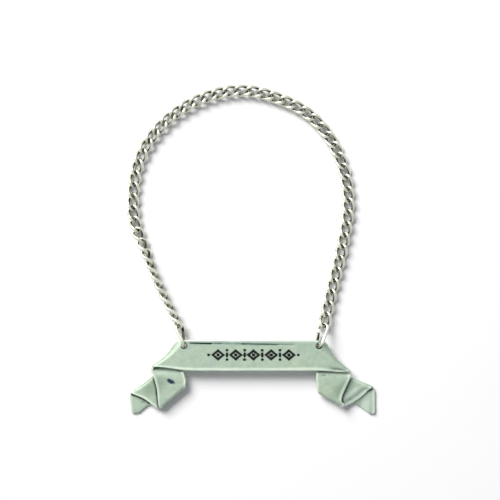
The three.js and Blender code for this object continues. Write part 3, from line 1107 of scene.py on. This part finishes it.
def pewter_material(grain_group, shade_and_highlight):
    material, tree, shader = new_material("Antiqued pewter")
    broad = use_group(tree, grain_group, {"Patch scale": 150, "Grain scale": 2600})
    fine = use_group(tree, grain_group, {"Patch scale": 800, "Grain scale": 5000})
    stain = uneven_mark(tree, "stain", fine["Patches"], *STAIN_UNEVEN)
    layers = [
        (broad["Patches"], PEWTER_PATCHES),
        (math_node(tree, "MULTIPLY", fine["Patches"], FLECK_STRENGTH), PEWTER_FLECKS),
        (uneven_mark(tree, "dull", broad["Grain"], *DULL_UNEVEN), PEWTER_DULL),
        (uneven_mark(tree, "band", fine["Patches"], *BAND_UNEVEN), PEWTER_BAND),
        (spread(tree, stain, *STAIN_RANGE), PEWTER_STAIN),
    ]
    body = PEWTER_BODY
    for share, layer in layers:
        body = mix_colours(tree, share, body, layer)
    # Painted shade in the nooks and in the cut line, near black in the deepest nooks and in the holes
    nook_shade = stored(tree, "nook_shade")
    deepest = spread(tree, nook_shade, *DEEP_NOOK_SHADE_RANGE)
    groove = uneven_mark(tree, "groove", fine["Patches"], *GROOVE_UNEVEN)
    shaded = use_group(tree, shade_and_highlight, {
        "Colour": body,
        "Nook shade colour": mix_colours(tree, deepest, PEWTER_NOOK_SHADE, PEWTER_DEEP_NOOK_SHADE),
        "Rub and highlight colour": PEWTER_RUB_HIGHLIGHT,
        "Nook shade": math_node(tree, "MAXIMUM", spread(tree, nook_shade, *NOOK_SHADE_RANGE), groove),
        "Rub and highlight": math_node(tree, "MULTIPLY", stored(tree, "rub_and_highlight"), RUB_AND_HIGHLIGHT_STRENGTH),
        "Roughness": vary(tree, broad["Patches"], *PEWTER_ROUGHNESS),
        "Patches": broad["Patches"],
    })
    join_surface(tree, shader, shaded["Colour"], shaded["Roughness"], broad["Grain"], strength=0.35, depth=0.03)
    shader["Metallic"].default_value = 0.8
    return material


def chain_material(grain_group, shade_and_highlight):
    material, tree, shader = new_material("Bright plated wire")
    grain = use_group(tree, grain_group, {"Patch scale": 420, "Grain scale": 3800})
    # The stored mask paints shade on the wire's inner sides and darkens its seams
    shaded = use_group(tree, shade_and_highlight, {
        "Colour": mix_colours(tree, grain["Patches"], WIRE_BODY, WIRE_PATCHES),
        "Nook shade colour": WIRE_SHADE_AND_SEAM,
        "Rub and highlight colour": WIRE_RUBBED,
        "Nook shade": stored(tree, "nook_shade"),
        "Rub and highlight": spread(tree, grain["Grain"], *WIRE_SHINE_RANGE, to_high=WIRE_SHINE),
        "Roughness": vary(tree, grain["Patches"], *WIRE_ROUGHNESS),
        "Patches": grain["Patches"],
    })
    join_surface(tree, shader, shaded["Colour"], shaded["Roughness"], grain["Grain"], strength=0.2, depth=0.02)
    shader["Metallic"].default_value = 1.0
    return material


def fill_material(grain_group):
    material, tree, shader = new_material("Black engraving fill")
    grain = use_group(tree, grain_group, {"Patch scale": 700, "Grain scale": 4000})
    body = mix_colours(tree, grain["Patches"], FILL_BODY, FILL_PATCHES)
    roughness = vary(tree, grain["Grain"], *FILL_ROUGHNESS)
    join_surface(tree, shader, body, roughness, grain["Grain"], strength=0.4, depth=0.03)
    shader["Specular IOR Level"].default_value = 0.15
    return material


# The table, the light and the camera

# The table, in millimetres, and how much it glows where it is seen
TABLE_SIZE = 3000
TABLE_LEVEL = -0.02
TABLE_SEEN = 0.04

# The window: its direction by degrees and in plan, its size and distance in metres, its watts and its tint
WINDOW_ELEVATION = 40
WINDOW_SIDE = (-0.62, 0.785)
WINDOW_SIZE = 0.8
WINDOW_DISTANCE = 1.4
WINDOW_POWER = 29
WINDOW_TINT = (1.0, 0.985, 0.96)

# The room's colour, how strongly it lights the object, and how bright it is seen, from low down to overhead
ROOM_COLOUR = (0.92, 0.95, 1.0, 1)
ROOM_LIGHT = 0.22
ROOM_SEEN = (0.8, 1.0)

# The camera looks straight down on this place and width at this level, in metres. Its lens and sensor are
# in millimetres, and what is nearer to it than the start isn't seen
VIEW_MIDDLE = (-0.000345, 0.0)
VIEW_WIDTH = 0.150
VIEW_LEVEL = 0.003
LENS = 100
SENSOR = 36
VIEW_START = 0.01


def seen_directly(tree):
    """1 for what the camera sees, also in a mirror or through glass, and 0 for what lights the object."""
    path = node(tree, "ShaderNodeLightPath").outputs
    mirrored = math_node(tree, "MAXIMUM", path["Is Glossy Ray"], path["Is Transmission Ray"])
    return math_node(tree, "MAXIMUM", path["Is Camera Ray"], mirrored)


def table_material():
    material, tree, shader = new_material("White table")
    grain = node(tree, "ShaderNodeTexNoise", {"Scale": 60, "Detail": 2}).outputs["Fac"]
    tree.links.new(mix_colours(tree, grain, TABLE_BODY, TABLE_GRAIN), shader["Base Color"])
    shader["Roughness"].default_value = 0.8
    shader["Specular IOR Level"].default_value = 0.1
    shader["Emission Color"].default_value = (1, 1, 1, 1)
    tree.links.new(vary(tree, seen_directly(tree), 0, TABLE_SEEN), shader["Emission Strength"])
    return material


def build_table():
    half = TABLE_SIZE / 2
    corners = [(x * half, y * half, TABLE_LEVEL) for x, y in ((-1, -1), (1, -1), (1, 1), (-1, 1))]
    floor = new_piece("table", corners, [(0, 1, 2, 3)])
    floor.data.materials.append(table_material())


def light_window():
    """A large soft window at the upper left."""
    tilt = math.radians(WINDOW_ELEVATION)
    side_x, side_y = WINDOW_SIDE
    towards = Vector((math.cos(tilt) * side_x, math.cos(tilt) * side_y, math.sin(tilt)))
    lamp = bpy.data.lights.new("window", "AREA")
    lamp.shape = "SQUARE"
    lamp.size = WINDOW_SIZE
    lamp.energy = WINDOW_POWER
    lamp.color = WINDOW_TINT
    window = bpy.data.objects.new("window", lamp)
    window.location = towards * WINDOW_DISTANCE
    window.rotation_euler = (-window.location).to_track_quat("-Z", "Y").to_euler()
    bpy.context.scene.collection.objects.link(window)


def surround_with_room():
    """The white room, which lights the object dimly and which its metal mirrors at full brightness."""
    world = bpy.data.worlds.new("White room")
    world.use_nodes = True
    tree = world.node_tree
    room = tree.nodes["Background"]
    room.inputs["Color"].default_value = ROOM_COLOUR
    place = node(tree, "ShaderNodeTexCoord").outputs["Generated"]
    height = node(tree, "ShaderNodeSeparateXYZ", {"Vector": place}).outputs["Z"]
    seen = vary(tree, height, *ROOM_SEEN)
    strength = node(tree, "ShaderNodeMix", {0: seen_directly(tree), 2: ROOM_LIGHT, 3: seen}).outputs[0]
    tree.links.new(strength, room.inputs["Strength"])
    bpy.context.scene.world = world


def place_camera():
    lens = bpy.data.cameras.new("camera")
    lens.lens = LENS
    lens.sensor_width = SENSOR
    lens.clip_start = VIEW_START
    camera = bpy.data.objects.new("camera", lens)
    camera.location = (*VIEW_MIDDLE, VIEW_LEVEL + VIEW_WIDTH * LENS / SENSOR)
    bpy.context.scene.collection.objects.link(camera)
    bpy.context.scene.camera = camera


def dress(piece, material, body, nodes):
    piece.data.materials.append(material)
    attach(piece, body)
    if nodes:
        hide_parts(*nodes)


grain_group = cast_grain_group()
shade_and_highlight = shade_and_highlight_group()
pewter = pewter_material(grain_group, shade_and_highlight)
plated = chain_material(grain_group, shade_and_highlight)

dress(build_ribbon(), pewter, "banner", ["banner"])
dress(build_fill(), fill_material(grain_group), "banner", [])
for name, loop in build_chain().items():
    dress(loop, plated, name, [name])

build_table()
light_window()
surround_with_room()
place_camera()
bpy.context.scene.view_settings.view_transform = "Standard"
